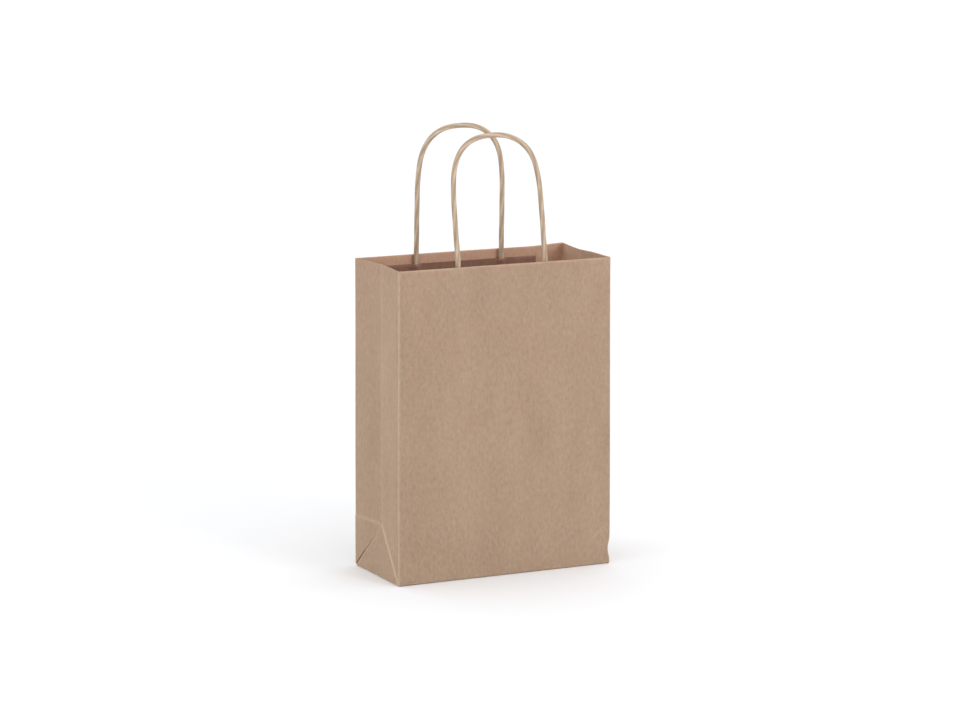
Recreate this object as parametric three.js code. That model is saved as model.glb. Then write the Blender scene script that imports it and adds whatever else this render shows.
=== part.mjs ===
// A gift bag: a block-bottomed paper carrier with two twisted paper handles.
// Millimetres, +Z up. The front face looks towards -Y and the origin is under the middle of the base.
// The sheet is modelled facet by facet, because every crease in it is a hinge.
import * as THREE from 'three';

// Driving dimensions of the sheet.
const PANEL_WIDTH = 180; // outside width of the front and back faces
const BAG_HEIGHT = 240; // floor to rim
const GUSSET_HALF = 40; // half a side gusset, from a corner to its centre crease
const GUSSET_TUCK_DEG = 6.5; // how far each half is turned in while the bag stands open
const BASE_CREASE = 40; // height of the crease that the base folds up on
const FOOT_TRIM = 8; // cut off the rear tip of each foot triangle, where the sheet buckles
const PAPER = 0.3; // one layer of the sheet
const GAP = 0.3; // clearance between layers, and across a crease
const SEAM_WIDTH = 26; // glued overlap that closes the sheet into a tube
const SEAM_INSET = 6; // from the corner to the start of that overlap

// Driving dimensions of the base.
const BASE_OVERLAP = 16; // how far the two base flaps lie over each other
const END_FLAP_REACH = 44; // how far an end flap reaches in from the side
const END_FLAP_INSET = 5.5; // from the front and rear edges to an end flap
const END_FLAP_TAPER = 14; // how much each side of an end flap narrows

// Driving dimensions of the handles and the patches that hold them.
const CORD_DIAMETER = 4;
const HANDLE_SPACING = 73.5; // between the two legs of one handle
const HANDLE_RISE = 94.8; // from the bend at the rim to the middle of the cord at the top
const HANDLE_OFFSET = -2.4; // the handles sit a little left of centre
const HANDLE_SHOULDER = 6.4; // how upright the sides of the arch stay: 2 is an ellipse
const HANDLE_CROWN = 2.2; // how flat its top is: 2 is an ellipse
const FRONT_HANDLE_SKEW = -7.5; // how far the top of the front arch leans along X
const BACK_HANDLE_SKEW = 1.8; // the same for the back arch
const BEND_HEIGHT = 3; // the cord bends this far above the rim, so that it clears it when laid flat
const PATCH_LENGTH = 130;
const PATCH_HEIGHT = 36;
const PATCH_DROP = 7.5; // from the rim to the top of a patch
const LEG_END_INSET = 4; // from the bottom of a patch to the end of a leg
const CHANNEL_HALF_WIDTH = 6; // half the width of the hump that a leg raises in its patch

// How finely the curved pieces are divided.
const CORD_SIDES = 10;
const ARCH_STEPS = 48;
const ARCH_POINTS = 64;
const HUMP_STEPS = 10;

// Colours of the paper and the cord.
const KRAFT = { color: 0xc39b74, roughness: 0.85, metalness: 0 };
const CORD = { color: 0xb98e63, roughness: 0.8, metalness: 0 };

// Worked out from the dimensions above.
const TUCK = THREE.MathUtils.degToRad(GUSSET_TUCK_DEG);
const HALF_WIDTH = PANEL_WIDTH / 2;
const HALF_GAP = GAP / 2;
const TUCK_DEPTH = GUSSET_HALF * Math.sin(TUCK);
const HALF_DEPTH = PAPER + GUSSET_HALF * Math.cos(TUCK) + PAPER * Math.sin(TUCK);
const INNER_X = HALF_WIDTH - PAPER;
const INNER_Y = HALF_DEPTH - PAPER;
const LAYER = PAPER + GAP;
const BASE_TOP = 2 * LAYER + PAPER; // three layers lie over each other in the base
const CORD_RADIUS = CORD_DIAMETER / 2;
const BEND_Z = BAG_HEIGHT + BEND_HEIGHT;
const PATCH_TOP = BAG_HEIGHT - PATCH_DROP;
const PATCH_BOTTOM = PATCH_TOP - PATCH_HEIGHT;
const CORD_DEPTH = 2 * GAP + PAPER + CORD_RADIUS; // from a wall's inner face to the cord's middle
const LEFT = -1;
const RIGHT = 1;
const FRONT = -1;
const REAR = 1;

const bag = new THREE.Group();
const UP = new THREE.Vector3(0, 0, 1);

function addMesh(name, geometry, finish) {
  const mesh = new THREE.Mesh(geometry, new THREE.MeshStandardMaterial(finish));
  mesh.name = name;
  bag.add(mesh);
  return mesh;
}

function shapeOf(points) {
  return new THREE.Shape(points.map(([x, y]) => new THREE.Vector2(x, y)));
}

// A flat facet. Its inner face lies in the plane of across and up, and its thickness is on the outer side.
function addFacet(name, outline, origin, across, up) {
  const geometry = new THREE.ExtrudeGeometry(shapeOf(outline), { depth: PAPER, bevelEnabled: false });
  geometry.translate(0, 0, -PAPER);
  const mesh = addMesh(name, geometry, KRAFT);
  const inward = new THREE.Vector3().crossVectors(across, up);
  mesh.setRotationFromMatrix(new THREE.Matrix4().makeBasis(across, up, inward));
  mesh.position.copy(origin);
}

function rectangle(x0, x1, y0, y1) {
  return [[x0, y0], [x1, y0], [x1, y1], [x0, y1]];
}

// The front or back face, or a strip of it between two heights.
function addPanel(name, end, low, high) {
  const origin = new THREE.Vector3(0, end * INNER_Y, 0);
  const across = new THREE.Vector3(end, 0, 0);
  addFacet(name, rectangle(-HALF_WIDTH, HALF_WIDTH, low, high), origin, across, UP);
}

// The plane of one gusset half: where it starts, which way it runs, and the sign of its distances.
function gussetFrame(side, end) {
  const sign = side * end;
  const origin = new THREE.Vector3(side * INNER_X, end * INNER_Y, 0);
  const toCrease = new THREE.Vector3(-side * Math.sin(TUCK), -end * Math.cos(TUCK), 0);
  return { origin, across: toCrease.multiplyScalar(sign), sign };
}

// A facet of a gusset half. Its outline is given as distance from the corner and height.
function addGussetFacet(name, side, end, outline) {
  const { origin, across, sign } = gussetFrame(side, end);
  addFacet(name, outline.map(([distance, height]) => [sign * distance, height]), origin, across, UP);
}

// The height of the diagonal crease at a distance from the corner, with half a gap above it.
function diagonalHeight(distance) {
  const slope = BASE_CREASE / GUSSET_HALF;
  return slope * distance + HALF_GAP * Math.hypot(1, slope);
}

function gussetFrontOutline() {
  const far = GUSSET_HALF - HALF_GAP;
  return [[GAP, diagonalHeight(GAP)], [far, diagonalHeight(far)], [far, BAG_HEIGHT], [GAP, BAG_HEIGHT]];
}

function gussetRearOutline() {
  return rectangle(GAP, GUSSET_HALF - HALF_GAP, BASE_CREASE + HALF_GAP, BAG_HEIGHT);
}

// The triangle under the rear half, between the level crease and the diagonal one.
function cornerOutline() {
  const top = BASE_CREASE - HALF_GAP;
  const reach = ((top - diagonalHeight(0)) * GUSSET_HALF) / BASE_CREASE;
  return [[GAP, diagonalHeight(GAP)], [reach, top], [GAP, top]];
}

// The triangle that stands on the side edge of the base, with its tip at the centre crease.
function addFoot(name, side) {
  const rise = BASE_CREASE - BASE_TOP;
  const lean = Math.atan2(TUCK_DEPTH, rise);
  const slantHeight = Math.hypot(TUCK_DEPTH, rise);
  const halfBase = INNER_Y * (rise / BASE_CREASE);
  const edgeInset = (HALF_GAP * Math.hypot(halfBase, slantHeight)) / slantHeight;
  const low = HALF_GAP;
  const baseReach = halfBase * (1 - low / slantHeight) - edgeInset;
  const tip = slantHeight * (1 - edgeInset / halfBase);
  const origin = new THREE.Vector3(side * INNER_X, 0, BASE_TOP);
  const up = new THREE.Vector3(-side * Math.sin(lean), 0, Math.cos(lean));
  const across = new THREE.Vector3(0, -side, 0);
  const rear = -side;
  const cut = baseReach - FOOT_TRIM;
  const cutHeight = low + (tip - low) * (FOOT_TRIM / baseReach);
  const outline = [[-rear * baseReach, low], [rear * cut, low], [rear * cut, cutHeight], [0, tip]];
  addFacet(name, outline, origin, across, up);
}

// A level plate of the base, drawn in plan, with its underside at the given height.
function addBasePlate(name, outline, low) {
  const geometry = new THREE.ExtrudeGeometry(shapeOf(outline), { depth: PAPER, bevelEnabled: false });
  geometry.translate(0, 0, low);
  addMesh(name, geometry, KRAFT);
}

// A base flap narrows at 45 degrees from its folded edge to its free edge.
function addBaseFlap(name, end, low) {
  const folded = end * (INNER_Y - GAP);
  const free = (-end * BASE_OVERLAP) / 2;
  const reach = Math.abs(folded - free);
  const wide = INNER_X - GAP;
  addBasePlate(name, [[-wide, folded], [wide, folded], [wide - reach, free], [reach - wide, free]], low);
}

function addEndFlap(name, side) {
  const outer = side * (INNER_X - GAP);
  const inner = outer - side * END_FLAP_REACH;
  const half = INNER_Y - END_FLAP_INSET;
  const narrow = half - END_FLAP_TAPER;
  addBasePlate(name, [[outer, -half], [outer, half], [inner, narrow], [inner, -narrow]], 2 * LAYER);
}

// The strip that is glued inside the right gusset and closes the tube.
function addSeam() {
  const { origin, across, sign } = gussetFrame(RIGHT, FRONT);
  const inward = new THREE.Vector3().crossVectors(across, UP);
  const outline = rectangle(SEAM_INSET, SEAM_INSET + SEAM_WIDTH, BASE_CREASE + HALF_GAP, BAG_HEIGHT - GAP);
  const lifted = origin.clone().addScaledVector(inward, LAYER);
  addFacet('side_seam', outline.map(([distance, height]) => [sign * distance, height]), lifted, across, UP);
}

// A piece with the same section at every height of a patch, drawn in plan.
function addPatchPly(name, outline) {
  const geometry = new THREE.ExtrudeGeometry(shapeOf(outline), { depth: PATCH_HEIGHT, bevelEnabled: false });
  geometry.translate(0, 0, PATCH_BOTTOM);
  addMesh(name, geometry, KRAFT);
}

// How far the patch's inner ply stands off the wall: flat, with a hump over each leg.
function plyStandOff(x) {
  const flat = GAP + LAYER;
  const hump = CORD_DIAMETER + GAP;
  const distance = Math.min(...legPositions().map((leg) => Math.abs(x - leg)));
  if (distance >= CHANNEL_HALF_WIDTH) return flat;
  return flat + (hump * (1 + Math.cos((Math.PI * distance) / CHANNEL_HALF_WIDTH))) / 2;
}

function legPositions() {
  return [HANDLE_OFFSET - HANDLE_SPACING / 2, HANDLE_OFFSET + HANDLE_SPACING / 2];
}

// Where the inner ply's section bends.
function plySections() {
  const sections = [-PATCH_LENGTH / 2];
  for (const leg of legPositions()) {
    for (let i = 0; i <= HUMP_STEPS; i += 1) {
      sections.push(leg + CHANNEL_HALF_WIDTH * ((2 * i) / HUMP_STEPS - 1));
    }
  }
  sections.push(PATCH_LENGTH / 2);
  return sections;
}

function addPatch(name, end) {
  const half = PATCH_LENGTH / 2;
  const wall = end * INNER_Y;
  const yAt = (standOff) => wall - end * standOff;
  addPatchPly(`${name}_outer_ply`, rectangle(-half, half, yAt(GAP), yAt(LAYER)));
  const near = plySections().map((x) => [x, yAt(plyStandOff(x))]);
  const far = plySections().map((x) => [x, yAt(plyStandOff(x) + PAPER)]);
  addPatchPly(`${name}_inner_ply`, [...near, ...far.reverse()]);
}

function cordSection() {
  const points = [];
  for (let i = 0; i < CORD_SIDES; i += 1) {
    const angle = (2 * Math.PI * i) / CORD_SIDES;
    points.push([CORD_RADIUS * Math.cos(angle), CORD_RADIUS * Math.sin(angle)]);
  }
  return shapeOf(points);
}

// The glued end of a handle. It stops below the bend, so that the arch can tilt over it.
function addLeg(name, x, y) {
  const low = PATCH_BOTTOM + LEG_END_INSET;
  const depth = BEND_Z - CORD_RADIUS - GAP - low;
  const geometry = new THREE.ExtrudeGeometry(cordSection(), { depth, bevelEnabled: false });
  const mesh = addMesh(name, geometry, CORD);
  mesh.position.set(x, y, low);
}

// The arch of a handle: a squared-off ellipse whose top leans along X.
function archPath(y, skew) {
  const points = [];
  for (let i = 0; i <= ARCH_POINTS; i += 1) {
    // the sides rise fast, so the points are closer together near the rim
    const angle = Math.PI * THREE.MathUtils.smootherstep(i / ARCH_POINTS, 0, 1);
    const rise = Math.abs(Math.sin(angle)) ** (2 / HANDLE_SHOULDER);
    const cosine = Math.cos(angle);
    const reach = -Math.sign(cosine) * Math.abs(cosine) ** (2 / HANDLE_CROWN);
    const x = HANDLE_OFFSET + (reach * HANDLE_SPACING) / 2 + skew * rise;
    points.push(new THREE.Vector3(x, y, BEND_Z + (i % ARCH_POINTS ? rise * HANDLE_RISE : 0)));
  }
  return new THREE.CatmullRomCurve3(points);
}

function addHandle(name, end, skew) {
  const y = end * (INNER_Y - CORD_DEPTH);
  const [left, right] = legPositions();
  addLeg(`${name}_leg_left`, left, y);
  addLeg(`${name}_leg_right`, right, y);
  const options = { steps: ARCH_STEPS, extrudePath: archPath(y, skew), bevelEnabled: false };
  addMesh(`${name}_loop`, new THREE.ExtrudeGeometry(cordSection(), options), CORD);
}

addPanel('front_panel', FRONT, 0, BAG_HEIGHT);
addPanel('back_panel', REAR, BASE_CREASE + HALF_GAP, BAG_HEIGHT);
addPanel('back_lower_panel', REAR, 0, BASE_CREASE - HALF_GAP);
for (const [word, side] of [['left', LEFT], ['right', RIGHT]]) {
  addGussetFacet(`${word}_gusset_front`, side, FRONT, gussetFrontOutline());
  addGussetFacet(`${word}_gusset_rear`, side, REAR, gussetRearOutline());
  addGussetFacet(`${word}_rear_corner`, side, REAR, cornerOutline());
  addFoot(`${word}_foot`, side);
  addEndFlap(`base_end_flap_${word}`, side);
}
addBaseFlap('base_rear_flap', REAR, 0);
addBaseFlap('base_front_flap', FRONT, LAYER);
addSeam();
addPatch('front_patch', FRONT);
addPatch('back_patch', REAR);
addHandle('front_handle', FRONT, FRONT_HANDLE_SKEW);
addHandle('back_handle', REAR, BACK_HANDLE_SKEW);

export default bag;
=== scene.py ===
# %% [markdown]
# # A kraft paper gift bag
# The bag is one folded sheet of brown paper, two twisted paper cords, and the patches that glue
# the cords on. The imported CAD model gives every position, so the scene starts by loading it.

# %% Load the frame
import math

import bpy
import numpy as np
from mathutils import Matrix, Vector


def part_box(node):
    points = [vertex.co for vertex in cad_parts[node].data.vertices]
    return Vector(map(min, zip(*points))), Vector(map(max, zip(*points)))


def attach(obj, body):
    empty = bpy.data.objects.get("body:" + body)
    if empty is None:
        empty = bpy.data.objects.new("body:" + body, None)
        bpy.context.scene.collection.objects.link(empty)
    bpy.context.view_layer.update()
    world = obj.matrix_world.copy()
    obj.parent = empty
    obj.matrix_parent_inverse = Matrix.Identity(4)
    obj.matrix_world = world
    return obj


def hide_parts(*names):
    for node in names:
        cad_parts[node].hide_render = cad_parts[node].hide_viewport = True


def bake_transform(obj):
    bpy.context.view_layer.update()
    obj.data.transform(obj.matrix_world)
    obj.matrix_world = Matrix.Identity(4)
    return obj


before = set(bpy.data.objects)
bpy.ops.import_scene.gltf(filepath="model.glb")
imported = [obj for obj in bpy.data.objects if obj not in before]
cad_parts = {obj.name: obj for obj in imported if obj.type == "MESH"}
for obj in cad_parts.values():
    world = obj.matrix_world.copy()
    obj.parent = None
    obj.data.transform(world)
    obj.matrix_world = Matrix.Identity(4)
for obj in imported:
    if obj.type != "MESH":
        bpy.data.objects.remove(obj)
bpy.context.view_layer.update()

# %% [markdown]
# ## Camera
# A camera close to a tall bag would make its upright edges lean together. This one stands about
# two and a half metres off with a long lens, a little above the rim, so the edges stay nearly
# parallel and the inside of the back wall just shows over the front one. Aiming a camera with a
# tracking constraint would work too, but two plain angles are easier to read and to change.

# %% Camera
CAMERA_PLACE = Vector((-1.1242, -2.3091, 0.6061))
CAMERA_YAW = math.radians(25.909)
CAMERA_PITCH = math.radians(-9.84)
LENS_MM = 127.5
SENSOR_MM = 36.0

camera_data = bpy.data.cameras.new("camera")
camera_data.lens = LENS_MM
camera_data.sensor_width = SENSOR_MM
camera_data.clip_end = 100.0
camera = bpy.data.objects.new("camera", camera_data)
bpy.context.collection.objects.link(camera)
camera.location = CAMERA_PLACE
camera.rotation_euler = (math.pi / 2 + CAMERA_PITCH, 0.0, -CAMERA_YAW)
bpy.context.scene.camera = camera
print("camera at", [round(v, 3) for v in CAMERA_PLACE], "lens", LENS_MM)

# %% [markdown]
# ## The run of a handle cord
# The cords come next, because their run settles everything above the rim. Each handle is one stiff
# twisted paper cord: a leg glued in the patch, an arch, and a second leg. The arch could be drawn
# by hand as a Bezier curve. A squared-off ellipse is used instead, because two exponents then say
# how upright its sides stand and how flat its top is, and its top leans a little.

# %% The run of a handle cord
def smooth(low, high, value):
    """A soft step: 0 up to low, 1 from high on."""
    t = np.clip((value - low) / (high - low), 0.0, 1.0)
    return t * t * (3.0 - 2.0 * t)


CORD_DIAMETER = 0.004
SHOULDER = 6.4
CROWN = 2.2
ARCH_TOP_LEAN = {"front": -0.0075, "back": 0.0018}
LEG_POINTS = 16
ARCH_POINTS = 90


def handle_run(end):
    """The middle line of one handle's cord, from the foot of its left leg to that of its right."""
    left = sum(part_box(f"{end}_handle_leg_left"), Vector()) / 2
    right = sum(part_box(f"{end}_handle_leg_right"), Vector()) / 2
    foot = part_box(f"{end}_handle_leg_left")[0].z
    loop_low, loop_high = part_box(f"{end}_handle_loop")
    bend = loop_low.z
    rise = loop_high.z - CORD_DIAMETER / 2 - bend
    share = np.linspace(0.0, 1.0, ARCH_POINTS)
    turn = math.pi * share**3 * (share * (6.0 * share - 15.0) + 10.0)
    up = np.abs(np.sin(turn)) ** (2 / SHOULDER)
    up[[0, -1]] = 0.0
    across = -np.sign(np.cos(turn)) * np.abs(np.cos(turn)) ** (2 / CROWN)
    middle, half = (left.x + right.x) / 2, (right.x - left.x) / 2
    arch_x = middle + half * across + ARCH_TOP_LEAN[end] * up
    arch = np.stack([arch_x, np.full(ARCH_POINTS, left.y), bend + rise * up], axis=1)
    heights = np.linspace(foot, bend, LEG_POINTS)[:-1]
    leg = [[left.x, left.y, z] for z in heights]
    other = [[right.x, left.y, z] for z in heights[::-1]]
    return np.concatenate([leg, arch, other])


for end in ("front", "back"):
    steps = np.linalg.norm(np.diff(handle_run(end), axis=0), axis=1)
    print(end, "handle cord is", round(float(steps.sum()), 4), "m long")

# %% [markdown]
# ## Floor and light
# The bag stands on a plain pale floor, large enough that its far edge is never seen. White light
# comes from all round, so the faces are nearly as bright as each other, and two soft boxes add the
# little direction that there is: a large one in front, and a low warm one that lifts the gusset.
# Small lamps would draw hard shadows, which thin paper in a bright room doesn't have.

# %% Floor and light
FLOOR_SIZE = 60.0
FLOOR_SHADE = (0.893, 0.905, 0.925, 1.0)
ROOM_LIGHT = 1.12
LAMP_AIM = Vector((0, 0, 0.1))
WARM = (1.0, 0.97, 0.88)

floor_mesh = bpy.data.meshes.new("floor")
edge = FLOOR_SIZE / 2
floor_mesh.from_pydata(
    [(-edge, -edge, 0), (edge, -edge, 0), (edge, edge, 0), (-edge, edge, 0)], [], [(0, 1, 2, 3)]
)
floor = bpy.data.objects.new("floor", floor_mesh)
bpy.context.collection.objects.link(floor)

world = bpy.data.worlds.new("studio")
world.use_nodes = True
world.node_tree.nodes["Background"].inputs["Color"].default_value = (1.0, 1.0, 1.0, 1.0)
world.node_tree.nodes["Background"].inputs["Strength"].default_value = ROOM_LIGHT
bpy.context.scene.world = world
bpy.context.scene.view_settings.view_transform = "Standard"


def softbox(name, place, size, watts, tint=(1.0, 1.0, 1.0)):
    """A square area light that faces the foot of the bag."""
    data = bpy.data.lights.new(name, "AREA")
    data.size = size
    data.energy = watts
    data.color = tint
    lamp = bpy.data.objects.new(name, data)
    bpy.context.collection.objects.link(lamp)
    lamp.location = place
    lamp.rotation_euler = (LAMP_AIM - Vector(place)).to_track_quat("-Z", "Y").to_euler()


softbox("softbox_front", (0.9, -2.6, 1.2), 0.9, 20.0)
softbox("softbox_left", (-2.2, -0.4, 0.25), 0.8, 5.0, WARM)

# %% [markdown]
# ## Shader maths
# A material is a graph of nodes, and it could be wired one link at a time. Sums are easier to
# read, so `Signal` wraps a node's output, and each operator on it adds the Math node that it
# stands for, whichever side the plain number is on. Any other node comes from `Recipe.node`.

# %% Shader helpers
class Signal:
    """One number that varies over a surface: an output socket with arithmetic."""

    def __init__(self, recipe, socket):
        self.recipe, self.socket = recipe, socket

    def _maths(self, operation, first, second):
        return self.recipe.node("Math", {"operation": operation}, {0: first, 1: second})

    def __add__(self, other):
        return self._maths("ADD", self, other)

    def __sub__(self, other):
        return self._maths("SUBTRACT", self, other)

    def __mul__(self, other):
        return self._maths("MULTIPLY", self, other)

    def __radd__(self, other):
        return self._maths("ADD", other, self)

    def __rsub__(self, other):
        return self._maths("SUBTRACT", other, self)

    def __rmul__(self, other):
        return self._maths("MULTIPLY", other, self)

    def above(self, edge, softness):
        """0 below the edge and 1 above it, with a soft step between."""
        ranged = {"interpolation_type": "SMOOTHSTEP"}
        values = {"Value": self, "From Min": edge - softness, "From Max": edge + softness}
        return self.recipe.node("MapRange", ranged, values)


class Recipe:
    """A material that is built node by node."""

    def __init__(self, name):
        self.material = bpy.data.materials.new(name)
        self.material.use_nodes = True
        self.tree = self.material.node_tree
        self.shader = self.tree.nodes["Principled BSDF"]

    def node(self, kind, settings=None, values=None, output=0):
        made = self.tree.nodes.new("ShaderNode" + kind)
        for key, value in (settings or {}).items():
            setattr(made, key, value)
        for key, value in (values or {}).items():
            self.feed(made.inputs[key], value)
        return Signal(self, made.outputs[output])

    def feed(self, socket, value):
        if isinstance(value, Signal):
            self.tree.links.new(value.socket, socket)
        else:
            socket.default_value = value

    def set(self, **values):
        for key, value in values.items():
            self.feed(self.shader.inputs[key.replace("_", " ")], value)

    def place(self, stretch=(1.0, 1.0, 1.0)):
        """Object coordinates, stretched along each axis."""
        seat = self.node("TexCoord", output="Object")
        return self.node("Mapping", {"vector_type": "POINT"}, {"Vector": seat, "Scale": stretch})

    def noise(self, where, scale, detail=3.0, roughness=0.55):
        values = {"Vector": where, "Scale": scale, "Detail": detail, "Roughness": roughness}
        return self.node("TexNoise", {}, values)

    def tint(self, share, plain, other):
        """Goes from the plain colour to the other as share goes from 0 to 1."""
        values = {"Factor": share, 6: plain, 7: other}
        return self.node("Mix", {"data_type": "RGBA"}, values, output=2)

    def mark(self, name):
        """A number stored on the mesh's points."""
        return self.node("Attribute", {"attribute_name": name}, output="Fac")


print("shader helpers", [kind.__name__ for kind in (Signal, Recipe)])

# %% [markdown]
# ## Kraft paper
# Brown kraft is unbleached pulp: long fibres laid mostly along the web, cloudy patches where the
# pulp is thicker, and odd dark and pale fibres. It has almost no gloss, and a little light soaks
# through it. A fold bruises the fibres and its crown catches the light, so each crease is painted
# as a paler line, partly for the rubbed fibre and partly as a painted highlight; the meshes carry
# a number along their creases for it. A scanned sheet would give the grain too, but it would
# repeat, and noise at four sizes doesn't. The outside, the inside and the patch are one recipe in
# three
# tones: the inside tone is painted lighter, to lift the shade inside the bag, and the patch tone
# is darker and redder, partly its own paper and partly painted shade.

# %% Kraft paper
def colour(red, green, blue):
    """A linear colour from 0 to 255 screen values."""
    def linear(v):
        v = v / 255
        return v / 12.92 if v <= 0.04045 else ((v + 0.055) / 1.055) ** 2.4
    return (linear(red), linear(green), linear(blue), 1.0)


SOAK_SHARE = 0.5
SOAK_DEPTH = 0.0008
CLOUD_SCALE = 38.0
FLOCK_SCALE = 420.0
FIBRE_SCALE, CROSS_FIBRE_SCALE = 2600.0, 3300.0
DARK_FIBRE_SCALE, PALE_FIBRE_SCALE = 900.0, 1150.0
TONE_SOFTNESS = 0.18
FIBRE_RELIEF = 0.22
FIBRE_HEIGHT = 0.00012


def kraft(name, deep, pale, fleck_wear_and_highlight):
    """One tone of kraft. The last colour is for pale fibres and crease lines: rubbed fibre plus
    painted highlight.
    """
    paper = Recipe(name)
    clouds = paper.noise(paper.place((1.0, 1.0, 0.4)), CLOUD_SCALE, 4.0, 0.55)
    flocks = paper.noise(paper.place((1.0, 1.0, 0.55)), FLOCK_SCALE, 3.0, 0.6)
    fibres = paper.noise(paper.place((1.0, 1.0, 0.12)), FIBRE_SCALE, 2.0, 0.7)
    cross = paper.noise(paper.place((0.2, 0.2, 1.0)), CROSS_FIBRE_SCALE, 2.0, 0.7)
    shade = clouds * 0.2 + flocks * 0.34 + fibres * 0.28 + cross * 0.18
    body = paper.tint(shade.above(0.5, TONE_SOFTNESS), deep, pale)
    dark_spots = paper.noise(paper.place((1.0, 1.0, 0.3)), DARK_FIBRE_SCALE, 2.0, 0.4)
    pale_spots = paper.noise(paper.place((0.45, 0.45, 1.0)), PALE_FIBRE_SCALE, 2.0, 0.4)
    darker = tuple(v * 0.72 for v in deep[:3]) + (1.0,)
    speckled = paper.tint(dark_spots.above(0.7, 0.035) * 0.28, body, darker)
    flecked = paper.tint(pale_spots.above(0.69, 0.04) * 0.16, speckled, fleck_wear_and_highlight)
    # Crease lines painted paler: partly rubbed fibre, partly a painted highlight where a fold's
    # crown catches the light.
    crease_wear_and_highlight = paper.mark("wear_and_highlight") * (0.55 + flocks * 0.7)
    rise = fibres * 0.5 + cross * 0.3 + flocks * 0.6
    bump = {"Strength": FIBRE_RELIEF, "Distance": FIBRE_HEIGHT, "Height": rise}
    relief = paper.node("Bump", {}, bump)
    paper.set(
        Base_Color=paper.tint(crease_wear_and_highlight, flecked, fleck_wear_and_highlight),
        Roughness=0.9 - clouds * 0.14 - crease_wear_and_highlight * 0.06,
        Normal=relief,
        Specular_IOR_Level=0.25,
        Subsurface_Weight=SOAK_SHARE,
        Subsurface_Radius=(1.0, 0.55, 0.32),
        Subsurface_Scale=SOAK_DEPTH,
    )
    return paper.material


KRAFT_TONES = {
    "kraft": ((147, 123, 103), (171, 147, 125), (202, 181, 155)),
    # The inside tone is painted lighter than the outside, to lift the shade inside the bag.
    "kraft_inside_painted_lighter": ((174, 146, 124), (192, 164, 141), (212, 188, 163)),
    # The patch tone is darker and redder: partly its own paper, partly painted shade.
    "kraft_patch_dark_and_shaded": ((128, 94, 79), (142, 107, 91), (176, 144, 122)),
}
kraft_outside, kraft_inside_painted_lighter, kraft_patch_dark_and_shaded = (
    kraft(name, *(colour(*tone) for tone in tones)) for name, tones in KRAFT_TONES.items()
)
print("paper finishes", [finish.name for finish in (kraft_outside, kraft_inside_painted_lighter, kraft_patch_dark_and_shaded)])

# %% [markdown]
# ## Cord paper and floor paint
# The cord is a strip of the same pulp, wound tight. Its streaks follow the twist, so they are read
# from two numbers that the cord's mesh carries: how far round and how far along a point lies. The
# valleys between the strands gather shade, and a third number, `valley`, marks them.

# %% Cord paper and floor paint
STREAKS_ROUND = 5.0
STREAKS_ALONG = 55.0


def twisted(name, deep, pale):
    """Paper wound into a cord: streaks run along the twist, and shade is painted into the valleys
    between.
    """
    cord = Recipe(name)
    strand, along = cord.mark("strand"), cord.mark("along")
    spot = cord.node("CombineXYZ", {}, {"X": strand * STREAKS_ROUND, "Y": along * STREAKS_ALONG})
    streaks = cord.noise(spot, 1.6, 4.0, 0.65)
    wash = cord.noise(cord.place(), 120.0, 2.0, 0.5)
    valley = cord.mark("valley")
    shade = (streaks * 0.7 + wash * 0.3).above(0.5, 0.16)
    body = cord.tint(shade, deep, pale)
    # Painted shade for the valleys between the strands: the deep tone halved, mixed in where
    # valley is high.
    painted_valley_shade = tuple(v * 0.5 for v in deep[:3]) + (1.0,)
    relief = cord.node("Bump", {}, {"Strength": 0.35, "Distance": 0.0002, "Height": streaks})
    cord.set(
        Base_Color=cord.tint(valley * 0.55, body, painted_valley_shade),
        Roughness=0.82 - streaks * 0.12,
        Normal=relief,
        Specular_IOR_Level=0.3,
    )
    return cord.material


cord_paper = twisted("cord_paper", colour(170, 146, 124), colour(205, 184, 160))

floor_paint = Recipe("floor_paint")
sweep = floor_paint.noise(floor_paint.place(), 3.0)
floor_paint.set(Base_Color=FLOOR_SHADE, Roughness=0.9 - sweep * 0.05)
floor.data.materials.append(floor_paint.material)
print("materials", sorted(m.name for m in bpy.data.materials))

# %% [markdown]
# ## Sizes from the frame
# The bag is a tube of paper, a face in front, one behind and a tucked gusset at each side. Its
# sizes could be typed in again, but they are read from the CAD solids, so the leaves always lie
# where the solids do. The small radii and margins are the paper's own.

# %% Sizes from the frame
PAPER = 0.0003
HALF_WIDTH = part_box("front_panel")[1].x
HALF_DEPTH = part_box("back_panel")[1].y
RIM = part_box("front_panel")[1].z
CREASE_Z = (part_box("back_panel")[0].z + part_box("back_lower_panel")[1].z) / 2
TUCK = HALF_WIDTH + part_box("left_gusset_front")[1].x - PAPER
FOLD_RADIUS = 0.0007
FOLD_MARGIN = 0.0006
ARC_STEPS = 6
BOTTOM_RADIUS = 0.0022

print("bag", [round(v * 1000, 2) for v in (HALF_WIDTH, HALF_DEPTH, RIM, CREASE_Z, TUCK)])

# %% [markdown]
# ## The plan of the sheet
# Seen from above, the tube is a rectangle whose short sides are tucked in at their middle. Flat
# walls with a bevel at each edge would leave seams where pieces meet. Instead, the outer line is
# followed as one distance, u, starting at the right front edge and going left, and every facet
# takes its stretch of it. Every crease is a small arc, because paper never folds to a point.

# %% The rounded plan
CORNERS = {
    "right_front": (HALF_WIDTH, -HALF_DEPTH),
    "left_front": (-HALF_WIDTH, -HALF_DEPTH),
    "left_crease": (-HALF_WIDTH + TUCK, 0.0),
    "left_rear": (-HALF_WIDTH, HALF_DEPTH),
    "right_rear": (HALF_WIDTH, HALF_DEPTH),
    "right_crease": (HALF_WIDTH - TUCK, 0.0),
}


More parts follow.
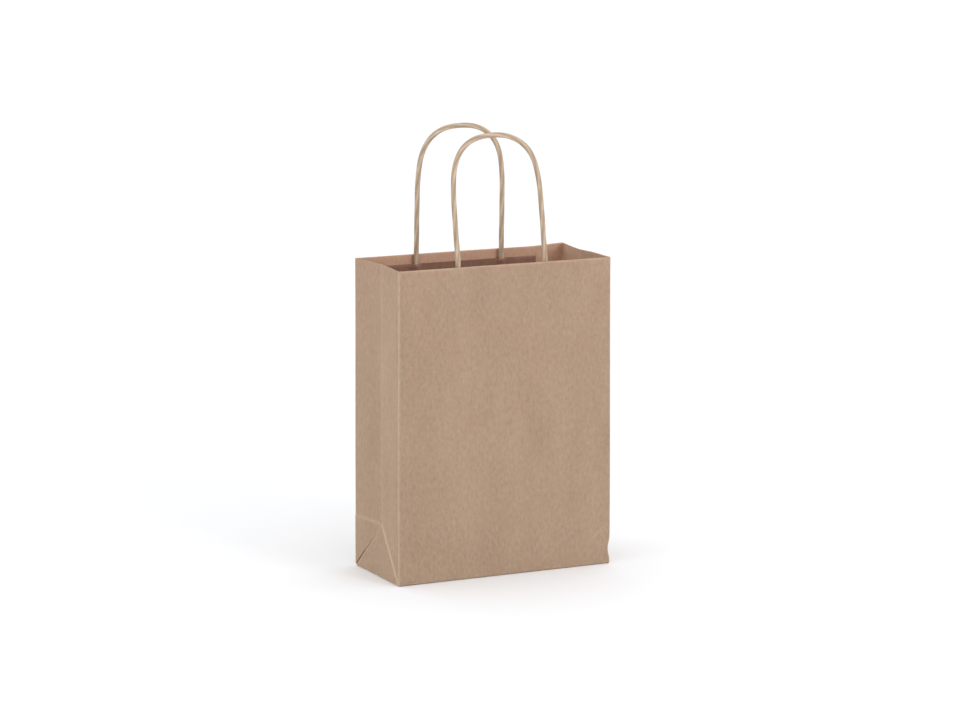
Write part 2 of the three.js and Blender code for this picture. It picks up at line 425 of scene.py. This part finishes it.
def rounded_plan():
    """The outer line as (u, x, y, outward x, outward y) rows, and where each crease's arc lies."""
    names = list(CORNERS)
    points = [np.array(CORNERS[n]) for n in names]
    count = len(points)
    rows, arcs, u = [], {}, 0.0
    for i, name in enumerate(names):
        before, here, after = points[i - 1], points[i], points[(i + 1) % count]
        way_in = (here - before) / np.linalg.norm(here - before)
        way_out = (after - here) / np.linalg.norm(after - here)
        turn = math.atan2(way_in[0] * way_out[1] - way_in[1] * way_out[0], way_in @ way_out)
        reach = FOLD_RADIUS * math.tan(abs(turn) / 2)
        if i == 0:
            u = -reach
        else:
            last = rows[-1]
            start = here - way_in * reach
            u = last[0] + np.linalg.norm(start - np.array(last[1:3]))
        normal_in = np.array([-way_in[1], way_in[0]])
        centre = here - way_in * reach - math.copysign(1.0, -turn) * normal_in * FOLD_RADIUS
        first = u
        for k in range(ARC_STEPS + 1):
            swing = turn * k / ARC_STEPS
            c, s = math.cos(swing), math.sin(swing)
            normal = np.array([[c, -s], [s, c]]) @ normal_in
            spot = centre + math.copysign(1.0, -turn) * normal * FOLD_RADIUS
            rows.append([first + FOLD_RADIUS * abs(swing), *spot, *(normal)])
        u = rows[-1][0]
        arcs[name] = (first, u)
    start = np.array(rows[0][1:3])
    total = u + np.linalg.norm(start - np.array(rows[-1][1:3]))
    rows.append([total, *rows[0][1:]])
    return np.array(rows), arcs, total - rows[0][0]


PLAN, ARCS, GIRTH = rounded_plan()
print("girth", round(GIRTH * 1000, 1), "mm")
print("creases at", {name: round(arc[0] * 1000, 1) for name, arc in ARCS.items()})


def plan_at(u):
    """Outer point and outward direction in plan at each distance u."""
    first = PLAN[0, 0]
    wrapped = (np.asarray(u) - first) % GIRTH + first
    out = [np.interp(wrapped, PLAN[:, 0], PLAN[:, k]) for k in range(1, 5)]
    length = np.hypot(out[2], out[3])
    return np.stack(out[:2], axis=-1), np.stack([out[2] / length, out[3] / length], axis=-1)

# %% [markdown]
# ## How the paper settles
# Real paper is never flat. Each leaf could be shaped by itself, or by a cloth simulation, but
# glued layers would then drift apart. One smooth field moves every layer together, so walls,
# patches and cords stay in touch: the broad faces belly out, the gusset halves bow in, the rim
# wavers, the tube tapers upwards, and the right front edge has a small knock near the foot.

# %% The settling field
FACE_ZONE = (0.028, 0.039)
SIDE_ZONE = (0.076, 0.085)
BELLY_RISE = 0.12
BELLY_FADE_START = 0.13
GUSSET_RISE = (0.03, 0.12)
BELLY = 0.0009
GUSSET_BOW = 0.0003
RIM_WAVE = 0.0005
KNOCK_PLACE = (0.089, -0.040, 0.012)
KNOCK_DEPTH = 0.0014
KNOCK_SIZE = 0.006
RIGHT_TUCK = 0.0012
TAPER = 0.0009
RIGHT_RIM_RISE = 0.0013


def settle(points):
    """Moves points from where stiff flat paper would be to where the real sheet settles."""
    p = np.array(points, float)
    x, y, z = p[..., 0], p[..., 1], p[..., 2]
    inside_width = np.clip(1.0 - (x / HALF_WIDTH) ** 2, 0.0, 1.0)
    faces = smooth(*FACE_ZONE, np.abs(y)) * np.sign(y)
    height = smooth(0.0, BELLY_RISE, z) * (1.0 - 0.45 * smooth(BELLY_FADE_START, RIM, z))
    wave = np.sin(x * 41.0 + np.sign(y) * 1.3) * smooth(0.15, RIM, z)
    move_y = faces * inside_width * (BELLY * height + RIM_WAVE * wave)
    sides = smooth(*SIDE_ZONE, np.abs(x)) * np.sign(x)
    halves = np.sin(np.pi * np.clip(np.abs(y) / HALF_DEPTH, 0, 1)) ** 2
    up = smooth(*GUSSET_RISE, z)
    tent = np.clip(1.0 - np.abs(y) / HALF_DEPTH, 0.0, 1.0)
    move_x = -sides * halves * up * GUSSET_BOW * (1.0 + 0.6 * np.sin(z * 31.0 + y * 40.0))
    move_x -= np.where(x > 0, sides, 0.0) * tent * RIGHT_TUCK * smooth(0.12, RIM, z)
    move_x -= TAPER * smooth(0.05, RIM, z) * x / HALF_WIDTH
    lifted = smooth(0.06, HALF_WIDTH, x) * smooth(-HALF_DEPTH, -0.015, y) * smooth(0.18, RIM, z)
    p[..., 2] += RIGHT_RIM_RISE * lifted
    near = ((x - KNOCK_PLACE[0]) ** 2 + (y - KNOCK_PLACE[1]) ** 2) / (1.3 * KNOCK_SIZE) ** 2
    knock = KNOCK_DEPTH * np.exp(-near - ((z - KNOCK_PLACE[2]) / KNOCK_SIZE) ** 2)
    p[..., 0] += move_x - 0.7 * knock
    p[..., 1] += move_y + knock
    return p


face_middle = np.array([[0.0, HALF_DEPTH, BELLY_RISE]])
print("a face bellies out", (settle(face_middle) - face_middle).round(5).tolist())

# %% [markdown]
# ## Creases
# A crease is where the paper has been pressed flat and opened again. It could be painted on, but
# light also catches its edge. So each is stored as a line with a strength, and two things are read
# from it: how much paler a point is painted, partly for rubbed fibre and partly as a painted
# highlight, and how far a low ridge lifts it, for the shape.

# %% Crease lines
def creases():
    lines = []
    for side in (-1.0, 1.0):
        edge, apex = side * HALF_WIDTH, (side * (HALF_WIDTH - TUCK), 0.0, CREASE_Z)
        for end, pressed in ((-1.0, 0.7), (1.0, 0.2)):
            corner = (edge, end * HALF_DEPTH, 0.0)
            lines.append((corner, apex, pressed))
            lines.append((corner, (edge, end * HALF_DEPTH, RIM), 0.42))
        lines.append((apex, (edge, HALF_DEPTH, CREASE_Z), 0.3))
        lines.append((apex, (apex[0], 0.0, RIM), 0.25))
        lines.append(((edge, -HALF_DEPTH, 0.0), (edge, HALF_DEPTH, 0.0), 0.4))
    left, right = -HALF_WIDTH, HALF_WIDTH
    lines.append(((left, HALF_DEPTH, CREASE_Z), (right, HALF_DEPTH, CREASE_Z), 0.6))
    lines.append(((left, -HALF_DEPTH, 0.0), (right, -HALF_DEPTH, 0.0), 0.5))
    lines.append(((left, HALF_DEPTH, 0.0), (right, HALF_DEPTH, 0.0), 0.5))
    lines.append(((right, -HALF_DEPTH, 0.034), (right - 0.02, -HALF_DEPTH, 0.018), 0.2))
    for end in (-1.0, 1.0):
        lines.append(((left, end * HALF_DEPTH, RIM), (right, end * HALF_DEPTH, RIM), 0.35))
    return lines


CREASES = creases()
WEAR_AND_HIGHLIGHT_WIDTH = 0.0012
RIDGE_HEIGHT = 0.00016
RIDGE_WIDTH = 0.0007
PRESSED = 0.2


def nearness(points, width, pressed_only=False):
    """For each point, the strongest crease beside it, from 0 to 1."""
    flat = points.reshape(-1, 3)
    best = np.zeros(len(flat))
    for start, stop, strength in CREASES:
        if pressed_only and strength < PRESSED:
            continue
        a, b = np.array(start), np.array(stop)
        t = np.clip((flat - a) @ (b - a) / ((b - a) @ (b - a)), 0.0, 1.0)
        gap = np.linalg.norm(flat - (a + t[:, None] * (b - a)), axis=1)
        best = np.maximum(best, strength * np.exp(-((gap / width) ** 2)))
    return best.reshape(points.shape[:-1])


print(len(CREASES), "crease lines")

# %% [markdown]
# ## Building one leaf of paper
# A leaf is a grid of points on the paper's outer side and a second grid one thickness inside it,
# joined round the rim. A Solidify modifier would thicken one grid too, but two grids let the inner
# side carry its own finish and leave every rim closed. One routine makes every facet, so
# neighbouring facets meet exactly.

# %% Leaf builder
def leaf(name, outer, inner, finishes, body, node):
    """A closed leaf that stands for a CAD node. finishes are those of its outer and inner side."""
    across, up = outer[0, 1] - outer[0, 0], outer[1, 0] - outer[0, 0]
    if np.cross(across, up) @ (outer[0, 0] - inner[0, 0]) < 0:
        outer, inner = outer[:, ::-1], inner[:, ::-1]
    rows, columns = outer.shape[:2]
    count = rows * columns
    index = np.arange(count).reshape(rows, columns)
    a, b = index[:-1, :-1].ravel(), index[:-1, 1:].ravel()
    c, d = index[1:, 1:].ravel(), index[1:, :-1].ravel()
    faces = [np.stack([a, b, c, d], 1), np.stack([a, d, c, b], 1) + count]
    for line in (index[0], index[:, -1], index[-1][::-1], index[::-1, 0]):
        faces.append(np.stack([line[1:], line[:-1], line[:-1] + count, line[1:] + count], 1))
    points = np.concatenate([outer.reshape(-1, 3), inner.reshape(-1, 3)])
    # How much paler each point is painted at a crease: partly rubbed fibre, partly painted
    # highlight.
    crease_wear_and_highlight = nearness(points, WEAR_AND_HIGHLIGHT_WIDTH)
    mesh = bpy.data.meshes.new(name)
    mesh.from_pydata(settle(points).tolist(), [], np.concatenate(faces).tolist())
    mesh.validate()
    wear_and_highlight = mesh.attributes.new("wear_and_highlight", "FLOAT", "POINT")
    wear_and_highlight.data.foreach_set("value", crease_wear_and_highlight.astype(np.float32))
    flat_sides = 2 * (rows - 1) * (columns - 1)
    smooth_flags = np.arange(len(mesh.polygons)) < flat_sides
    mesh.polygons.foreach_set("use_smooth", smooth_flags)
    for finish in finishes:
        mesh.materials.append(finish)
    sides = np.where(np.arange(len(mesh.polygons)) < flat_sides // 2, 0, len(finishes) - 1)
    mesh.polygons.foreach_set("material_index", sides.astype(np.int32))
    made = bpy.data.objects.new(name, mesh)
    bpy.context.collection.objects.link(made)
    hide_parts(node)
    if body is not None:
        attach(made, body)
    return made


# The inner side takes the tone painted lighter, to lift the shade inside the bag.
KRAFT = (kraft_outside, kraft_inside_painted_lighter)
print("leaf builder ready, finishes", [finish.name for finish in KRAFT])

# %% [markdown]
# ## Where a leaf's points go
# Even rows would need to be very fine everywhere for a crease 1.4 mm across to stay round. The
# rows and columns are spread evenly and crowded only where the paper bends. A wall is then its
# stretch of the plan, raised from its lower edge to its upper one, and curled in at the bottom
# where it turns under into the base.

# %% Spread and walls
def spread(low, high, step, close=(), reach=0.003, fine=0.0004):
    """Places from low to high, about a step apart, and a fine step apart near some of them."""
    spots = set(np.linspace(low, high, max(2, int(round((high - low) / step)) + 1)))
    for middle in close:
        for spot in np.arange(middle - reach, middle + reach + fine / 2, fine):
            if low < spot < high:
                spots.add(float(spot))
    ordered = sorted(spots)
    kept = [ordered[0]]
    for spot in ordered[1:]:
        if spot - kept[-1] > fine * 0.6:
            kept.append(spot)
    kept[-1] = high
    return np.array(kept)


def rolled_under(z):
    """How far a wall has curled inwards at height z, where it folds into the base."""
    drop = np.clip(BOTTOM_RADIUS - z, 0.0, BOTTOM_RADIUS)
    return BOTTOM_RADIUS - np.sqrt(BOTTOM_RADIUS**2 - drop**2)


def wall_grid(us, low, high, rises, depth=0.0, swell=None):
    """Outer and inner grids of a wall. low and high give its lower and upper edge at each u."""
    plan, out = plan_at(us)
    z = low(us)[None, :] + (high(us) - low(us))[None, :] * rises[:, None]
    spot, away = np.zeros((*z.shape, 3)), np.zeros((*z.shape, 3))
    spot[..., :2], spot[..., 2] = plan, z
    away[..., :2] = out
    lift = RIDGE_HEIGHT * nearness(spot, RIDGE_WIDTH, pressed_only=True) - depth - rolled_under(z)
    if swell is not None:
        lift = lift + swell(spot)
    outer = spot + away * lift[..., None]
    return outer, outer - away * PAPER


def level(height):
    """A level edge, for the foot or the top of a wall."""
    return lambda u: np.full(len(u), height)


sample = spread(0.0, RIM, 0.0025, (RIM,), 0.003, 0.0006)
print(len(sample), "rows from the foot to the rim, paper", PAPER * 1000, "mm")

# %% [markdown]
# ## What shows through the broad faces
# Behind each face, the glued legs of a handle and the edge of its patch press through faintly, as
# a coin does through a sheet. A bump map could hint at it, but the lift is real, so it moves the
# points. The helpers after it follow the plan closely round each fold.

# %% Pressing through, and edges at folds
LEG_SPOTS = [sum(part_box(f"front_handle_leg_{s}"), Vector()).x / 2 for s in ("left", "right")]
PATCH_LOW, PATCH_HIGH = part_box("front_patch_inner_ply")
LEG_PRESS = 0.00028
PATCH_PRESS = 0.00009
PATCH_SOFTNESS = 0.001


def soft_edges(low, high, value):
    """1 between low and high and 0 outside, with a soft step 2 mm wide at each end."""
    rise = smooth(low - PATCH_SOFTNESS, low + PATCH_SOFTNESS, value)
    return rise * smooth(-high - PATCH_SOFTNESS, -high + PATCH_SOFTNESS, -value)


def pressed_through(p):
    """How far the glued legs and the patch lift a broad face."""
    x, z = p[..., 0], p[..., 2]
    legs = sum(np.exp(-(((x - spot) / 0.0024) ** 2)) for spot in LEG_SPOTS)
    leg_zone = smooth(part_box("front_handle_leg_left")[0].z - 0.002, 0.204, z)
    across = soft_edges(PATCH_LOW.x, PATCH_HIGH.x, x)
    up = soft_edges(PATCH_LOW.z, PATCH_HIGH.z, z)
    return LEG_PRESS * legs * leg_zone + PATCH_PRESS * across * up


def arc_edge(name, which):
    """Where a facet starts or stops beside a fold: before its arc, after it, or in its middle."""
    first, last = ARCS[name]
    if which == "middle":
        return (first + last) / 2
    return first - FOLD_MARGIN if which == "before" else last + FOLD_MARGIN


def arc_spots(name):
    """The plan's own points round one fold."""
    first, last = ARCS[name]
    return list(np.linspace(first, last, ARC_STEPS + 1))


def wall_columns(start, stop, step, folds, extra=()):
    """Distances along the plan, with the arcs of its folds followed closely."""
    low, high = min(start, stop), max(start, stop)
    spots = set(spread(low, high, step, extra))
    for fold in folds:
        first, last = ARCS[fold]
        spots = {s for s in spots if s < first - 0.0002 or s > last + 0.0002}
        spots |= {s for s in arc_spots(fold) if low <= s <= high}
    return np.array(sorted(spots | {low, high}))


print("legs press through at", [round(spot, 4) for spot in LEG_SPOTS])

# %% [markdown]
# ## The two broad faces
# These are the panels a shopper sees first. The front one runs from the rim to the floor, and the
# back one stops at the level crease above the foot. Each could be a thickened plane, but a real
# one is never quite flat, so each is a fine grid. The back also carries the rounded crease by
# which it hangs from the left gusset.

# %% Front and back faces
FACE_STEP = 0.0022
ROW_STEP = 0.0025
PATCH_HALF = 0.065
FOOT_CURL_ROW = 0.0009
LEG_FOOT_ROW = 0.204


def face_rises(low, first_row):
    """Rows of a broad face, as shares of its height, crowded where something bends it."""
    rows = (first_row, PATCH_LOW.z, PATCH_HIGH.z, LEG_FOOT_ROW, RIM)
    return (spread(low, RIM, ROW_STEP, rows, 0.003, 0.0006) - low) / (RIM - low)


front_extra = [HALF_WIDTH - spot for spot in LEG_SPOTS]
front_extra += [HALF_WIDTH - PATCH_HALF, HALF_WIDTH + PATCH_HALF, 0.001, 0.179]
front_edges = arc_edge("right_front", "after"), arc_edge("left_front", "before")
front_us = wall_columns(*front_edges, FACE_STEP, (), front_extra)
front_rises = face_rises(0.0, FOOT_CURL_ROW)
outer, inner = wall_grid(front_us, level(0.0), level(RIM), front_rises, swell=pressed_through)
front_face = leaf("front_face", outer, inner, KRAFT, "front", "front_panel")

back_low = CREASE_Z + FOLD_MARGIN
back_edges = arc_edge("left_rear", "before"), arc_edge("right_rear", "middle")
back_us = wall_columns(*back_edges, FACE_STEP, ("left_rear", "right_rear"))
back_rises = face_rises(back_low, back_low)
outer, inner = wall_grid(back_us, level(back_low), level(RIM), back_rises, swell=pressed_through)
back_face = leaf("back_face", outer, inner, KRAFT, None, "back_panel")
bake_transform(back_face)
print("front and back", len(front_face.data.polygons), len(back_face.data.polygons), "faces")

# %% [markdown]
# ## Gusset halves
# A gusset is a side wall with a crease down its middle, which tucks it inwards. Each half is its
# own leaf, and each carries the crease it hangs from. The front half runs down to the foot's
# diagonal. The rear half stops at the level crease.

# %% Gusset halves
GUSSET_ROWS = spread(0.0, 1.0, 0.011, (0.0, 1.0), 0.012, 0.002)


FRONT_CORNERS = {
    "left": np.mean(ARCS["left_front"]),
    "right": np.mean(ARCS["right_front"]) + GIRTH,
}


def diagonal(side):
    """The foot's diagonal, rising at 45 degrees from a corner to the end of the level crease."""
    def height(u):
        away = FRONT_CORNERS[side] - u
        return np.clip(np.abs(away) if side == "left" else away, 0.0, CREASE_Z)
    return height


GUSSET_EDGES = {
    ("left", "front"): (arc_edge("left_front", "before"), arc_edge("left_crease", "before")),
    ("left", "rear"): (arc_edge("left_crease", "before"), arc_edge("left_rear", "before")),
    ("right", "rear"): (arc_edge("right_rear", "middle"), arc_edge("right_crease", "after")),
    ("right", "front"): (
        arc_edge("right_crease", "after"), arc_edge("right_front", "after") + GIRTH
    ),
}
GUSSET_FOLDS = ("left_crease", "right_crease", "left_front", "left_rear", "right_rear")
GUSSET_STEP = 0.0016


def gusset_half(side, end):
    """One half of a gusset above the foot, with the crease it hangs from."""
    low = diagonal(side) if end == "front" else level(CREASE_Z)
    edges = GUSSET_EDGES[side, end]
    spots = wall_columns(*edges, GUSSET_STEP, GUSSET_FOLDS)
    if side == "right" and end == "front":
        last = [u + GIRTH for u in arc_spots("right_front")]
        spots = {spot for spot in spots if spot < last[0] - 0.0002}
        spots = np.array(sorted(spots | set(last) | {edges[1]}))
    outer, inner = wall_grid(spots, low, level(RIM), GUSSET_ROWS)
    name = f"{side}_gusset_{end}"
    made = leaf(f"{name}_leaf", outer, inner, KRAFT, None, name)
    if end == "front":
        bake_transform(made)
    else:
        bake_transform(made)
    print(made.name, len(made.data.polygons), "faces")


for side in ("left", "right"):
    for end in ("front", "rear"):
        gusset_half(side, end)

# %% [markdown]
# ## The foot
# Under the level crease each gusset splits in two. The foot triangle stands on the side edge of
# the base with its tip at the end of the crease, and the corner triangle fills the gap behind it.
# A triangle could be one face, but then it couldn't curl in where it meets the floor, so it is a
# grid whose rows narrow to the tip.

# %% Foot and corner triangles
TIP_WIDTH = 0.00008
CORNER_CUT = 0.0018


def triangle_leaf(name, corner_a, corner_b, tip, outward, body, node):
    """A flat triangle as a grid that narrows to its tip."""
    a, b, t = (np.array(v, float) for v in (corner_a, corner_b, tip))
    rises = spread(0.0, 1.0, 0.026, (0.015, 1.0), 0.04, 0.006)
    shares = spread(0.0, 1.0, 0.02, (0.0, 1.0), 0.03, 0.006)
    narrow = 1.0 - rises * (1.0 - TIP_WIDTH / np.linalg.norm(b - a))
    middle = (a + b) / 2
    centre = middle + (t - middle) * rises[:, None]
    grid = centre[:, None, :] + (b - a) * ((shares[None, :] - 0.5) * narrow[:, None])[..., None]
    away = np.array(outward, float) / np.linalg.norm(outward)
    ridge = RIDGE_HEIGHT * nearness(grid, RIDGE_WIDTH, pressed_only=True)
    lift = ridge - rolled_under(grid[..., 2])
    outer = grid + away * lift[..., None]
    inner = outer - away * PAPER
    return leaf(name, outer, inner, KRAFT, body, node)


for side, sign in (("left", -1.0), ("right", 1.0)):
    apex = (sign * (HALF_WIDTH - TUCK), 0.0, CREASE_Z)
    front_corner = (sign * HALF_WIDTH, -HALF_DEPTH, 0.0001)
    rear_corner = (sign * HALF_WIDTH, HALF_DEPTH, 0.0001)
    lean = (sign * CREASE_Z, 0.0, TUCK)
    foot = triangle_leaf(
        f"{side}_foot_leaf", front_corner, rear_corner, apex, lean, None, f"{side}_foot"
    )
    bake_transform(foot)
    rear_tip = (sign * HALF_WIDTH, HALF_DEPTH, CORNER_CUT)
    rear_top = (sign * HALF_WIDTH, HALF_DEPTH, CREASE_Z)
    gusset_out = (sign * HALF_DEPTH, -TUCK, 0.0)
    corner = triangle_leaf(
        f"{side}_corner_leaf", apex, rear_top, rear_tip, gusset_out,
        f"{side}_corner", f"{side}_rear_corner",
    )
    print(foot.name, len(foot.data.polygons), corner.name, len(corner.data.polygons), "faces")

# %% [markdown]
# ## Lower back and base
# The strip of the back below the level crease, which turns up first when a real bag is folded, is
# a leaf of its own. The base is the tube's bottom, folded flat and glued: a rear flap underneath,
# and a front flap that steps up where it lies over it. A plain slab would look the same from
# above, but not from below, where the flaps' slanted edges show.

# %% Lower back and base flaps
lower_edges = arc_edge("left_rear", "middle"), arc_edge("right_rear", "middle")
lower_us = wall_columns(*lower_edges, 0.0025, ("left_rear", "right_rear"))
lower_rises = spread(0.0, 1.0, 0.05, (0.015, 1.0), 0.045, 0.006)
outer, inner = wall_grid(lower_us, level(0.0), level(back_low), lower_rises)
back_strip = leaf("back_strip", outer, inner, KRAFT, None, "back_lower_panel")
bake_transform(back_strip)


def base_leaf(name, end, node):
    """A base flap that narrows at 45 degrees and steps up where it lies over the other flap."""
    low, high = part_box(node)
    folded = end * (HALF_DEPTH - PAPER - BOTTOM_RADIUS)
    free = low.y if end > 0 else high.y
    ys = spread(min(folded, free), max(folded, free), 0.002)
    shares = spread(-1.0, 1.0, 0.02)
    reach = HALF_WIDTH - PAPER - BOTTOM_RADIUS - np.abs(ys - folded)
    xs = shares[None, :] * reach[:, None]
    y = np.broadcast_to(ys[:, None], xs.shape)
    step = 0.0 if end > 0 else high.z - PAPER
    z = step * smooth(-0.022, -0.010, y)
    under = np.stack([xs, y, z], -1)
    over = under + np.array([0.0, 0.0, PAPER])
    made = leaf(name, under, over, KRAFT, "base", node)
    print(made.name, len(made.data.polygons), "faces")


base_leaf("base_rear_leaf", 1.0, "base_rear_flap")
base_leaf("base_front_leaf", -1.0, "base_front_flap")

# %% [markdown]
# ## The glued seam
# A sheet becomes a tube where one edge is glued over the other. Here that overlap lies inside the
# right gusset, where it shows least. It is a wall leaf like the others, one paper thickness in.

# %% Side seam
SEAM_START, SEAM_STOP = 0.032, 0.0075
GLUE = 0.00008
seam_low, seam_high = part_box("side_seam")
seam_corner = FRONT_CORNERS["right"]
seam_us = spread(seam_corner - SEAM_START, seam_corner - SEAM_STOP, 0.0015)
seam_edges = level(seam_low.z), level(seam_high.z)
outer, inner = wall_grid(seam_us, *seam_edges, GUSSET_ROWS, depth=PAPER + GLUE)
seam = leaf("side_seam_leaf", outer, inner, KRAFT, "right_gusset_front", "side_seam")
print(seam.name, len(seam.data.polygons), "faces")

# %% [markdown]
# ## Patches
# Each handle's legs lie between the two plies of a paper patch, glued inside the bag. The outer
# ply is flat and keeps its CAD solid. The inner one humps over the legs, with a cosine profile
# that is flat at both ends, because stiff paper neither kinks there nor wraps the cord closely.

# %% Patches
HUMP_HALF = 0.006
HUMP_CLEARANCE = 0.0003
PLY_DEPTH = PAPER + 0.00065


def patch_leaf(end, plan_start):
    """The inner ply of a patch, humped over the two legs of its handle."""
    middle = plan_start + HALF_WIDTH
    way = -1.0 if end == "front" else 1.0
    spots = np.array([middle + way * spot for spot in LEG_SPOTS])
    us = spread(middle - PATCH_HALF, middle + PATCH_HALF, 0.0016, list(spots), HUMP_HALF, 0.0005)
    away = np.min(np.abs(us[:, None] - spots[None, :]), axis=1)
    hump = np.where(away < HUMP_HALF, (1 + np.cos(np.pi * away / HUMP_HALF)) / 2, 0.0)
    height = (CORD_DIAMETER + HUMP_CLEARANCE) * hump
    rises = spread(0.0, 1.0, 0.05)
    edges = level(PATCH_LOW.z), level(PATCH_HIGH.z)
    outer, inner = wall_grid(us, *edges, rises, depth=PLY_DEPTH + height[None, :])
    # The inner ply's darker tone is partly its own paper and partly painted shade.
    ply = leaf(f"{end}_patch_leaf", outer, inner, (kraft_patch_dark_and_shaded,), end, f"{end}_patch_inner_ply")
    print(ply.name, len(ply.data.polygons), "faces")


patch_leaf("front", 0.0)
patch_leaf("back", np.mean(ARCS["left_rear"]))

CARRIED_OVER = {"outer_ply": kraft_patch_dark_and_shaded, "end_flap": kraft_outside}
for name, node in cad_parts.items():
    for part, finish in CARRIED_OVER.items():
        if part in name:
            node.data.materials.clear()
            node.data.materials.append(finish)
            print(name, "keeps its solid, in", finish.name)

# %% [markdown]
# ## Twisted cord, as geometry nodes
# Cord paper is a strip wound round itself, so its section is a circle with shallow lobes that turn
# steadily along the cord. Three modelled strands could be twisted together, but they are pressed
# into one here. A rule this simple suits Geometry Nodes: a lobed ring is swept along the cord's
# path while the path's tilt turns it, and the sizes are inputs that any other cord could reuse.

# %% Twisted cord, as geometry nodes
RING_POINTS = 40
CORD_LOBES = 3
LOBE_DEPTH = 0.00013
TWIST_PITCH = 0.075


def cord_tree():
    """Sweeps a lobed ring along a path, turning it steadily, and marks strands and valleys."""
    tree = bpy.data.node_groups.new("twisted_cord", "GeometryNodeTree")
    face = tree.interface
    face.new_socket("Path", in_out="INPUT", socket_type="NodeSocketGeometry")
    for name in ("Radius", "Lobe depth", "Twist pitch"):
        face.new_socket(name, in_out="INPUT", socket_type="NodeSocketFloat")
    face.new_socket("Lobes", in_out="INPUT", socket_type="NodeSocketInt")
    face.new_socket("Cord", in_out="OUTPUT", socket_type="NodeSocketGeometry")

    def add(kind, settings=None, values=None):
        made = tree.nodes.new(kind)
        for key, value in (settings or {}).items():
            setattr(made, key, value)
        for key, value in (values or {}).items():
            if isinstance(value, bpy.types.NodeSocket):
                tree.links.new(value, made.inputs[key])
            else:
                made.inputs[key].default_value = value
        return made

    def maths(operation, first, second=0.0):
        return add("ShaderNodeMath", {"operation": operation}, {0: first, 1: second}).outputs[0]

    given = add("NodeGroupInput").outputs
    ring = add("GeometryNodeCurvePrimitiveCircle", {}, {"Resolution": RING_POINTS, "Radius": 1.0})
    place = add("GeometryNodeInputPosition").outputs[0]
    spot = add("ShaderNodeSeparateXYZ", {}, {0: place}).outputs
    angle = maths("ARCTAN2", spot[1], spot[0])
    wave = maths("COSINE", maths("MULTIPLY", angle, given["Lobes"]))
    valley = maths("MULTIPLY", maths("SUBTRACT", 1.0, wave), 0.5)
    size = maths("SUBTRACT", given["Radius"], maths("MULTIPLY", given["Lobe depth"], valley))
    scaling = add("ShaderNodeVectorMath", {"operation": "SCALE"}, {0: place, "Scale": size})

    def store(geometry, name, value):
        settings = {"data_type": "FLOAT", "domain": "POINT"}
        values = {"Geometry": geometry, "Name": name, "Value": value}
        return add("GeometryNodeStoreNamedAttribute", settings, values).outputs[0]

    marked = store(store(ring.outputs[0], "strand", angle), "valley", valley)
    placing = {"Geometry": marked, "Position": scaling.outputs[0]}
    lobed = add("GeometryNodeSetPosition", {}, placing).outputs[0]
    along = add("GeometryNodeSplineParameter").outputs["Length"]
    path = store(given["Path"], "along", along)
    turn = maths("MULTIPLY", maths("DIVIDE", along, given["Twist pitch"]), 2 * math.pi)
    turned = add("GeometryNodeSetCurveTilt", {}, {"Curve": path, "Tilt": turn}).outputs[0]
    sweep = {"Curve": turned, "Profile Curve": lobed, "Fill Caps": True}
    swept = add("GeometryNodeCurveToMesh", {}, sweep).outputs[0]
    smooth_skin = add("GeometryNodeSetShadeSmooth", {}, {"Geometry": swept}).outputs[0]
    real = add("GeometryNodeRealizeInstances", {}, {"Geometry": smooth_skin}).outputs[0]
    finish = {"Geometry": real, "Material": cord_paper}
    finished = add("GeometryNodeSetMaterial", {}, finish).outputs[0]
    tree.links.new(finished, add("NodeGroupOutput").inputs["Cord"])
    return tree


CORD_TREE = cord_tree()
print("cord tree", len(CORD_TREE.nodes), "nodes")

# %% [markdown]
# ## The two handles
# Each handle is one cord from glued leg to glued leg. Its path is the run worked out at the start,
# put through the same settling field as the paper, so that the legs stay between their plies. The
# tree's sizes are set on the modifier before the path is first evaluated, and the result is kept
# as a plain mesh. The cord bends just above the rim, where its fibres are free to, and there it
# turns from the upright legs into the leaning arch.

# %% The two handles
CORD_SIZES = {
    "Radius": CORD_DIAMETER / 2,
    "Lobe depth": LOBE_DEPTH,
    "Twist pitch": TWIST_PITCH,
    "Lobes": CORD_LOBES,
}
PATH_STEP = 0.0012


def resampled(points, step):
    """The same line with its points about a step apart."""
    along = np.concatenate([[0.0], np.cumsum(np.linalg.norm(np.diff(points, axis=0), axis=1))])
    spots = np.linspace(0.0, along[-1], int(round(along[-1] / step)) + 1)
    return np.stack([np.interp(spots, along, points[:, k]) for k in range(3)], axis=1)


def handle_cord(end):
    """Sweeps one handle's cord along its settled run and keeps it as a plain mesh."""
    run = settle(resampled(handle_run(end), PATH_STEP))
    line = bpy.data.curves.new(f"{end}_handle_path", "CURVE")
    line.dimensions = "3D"
    spline = line.splines.new("POLY")
    spline.points.add(len(run) - 1)
    spline.points.foreach_set("co", np.column_stack([run, np.ones(len(run))]).ravel())
    path = bpy.data.objects.new(f"{end}_handle_path", line)
    bpy.context.collection.objects.link(path)
    sweep_nodes = path.modifiers.new("twisted_cord", "NODES")
    sweep_nodes.node_group = CORD_TREE
    for socket in CORD_TREE.interface.items_tree:
        if socket.in_out == "INPUT" and socket.name in CORD_SIZES:
            sweep_nodes[socket.identifier] = CORD_SIZES[socket.name]
    bpy.context.view_layer.update()
    swept = path.evaluated_get(bpy.context.evaluated_depsgraph_get())
    mesh = bpy.data.meshes.new_from_object(swept)
    bpy.data.objects.remove(path)
    mesh.name = f"{end}_handle_cord"
    made = bpy.data.objects.new(f"{end}_handle_cord", mesh)
    bpy.context.collection.objects.link(made)
    nodes = [f"{end}_handle_loop", f"{end}_handle_leg_left", f"{end}_handle_leg_right"]
    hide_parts(*nodes)
    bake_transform(made)


for end in ("front", "back"):
    handle_cord(end)
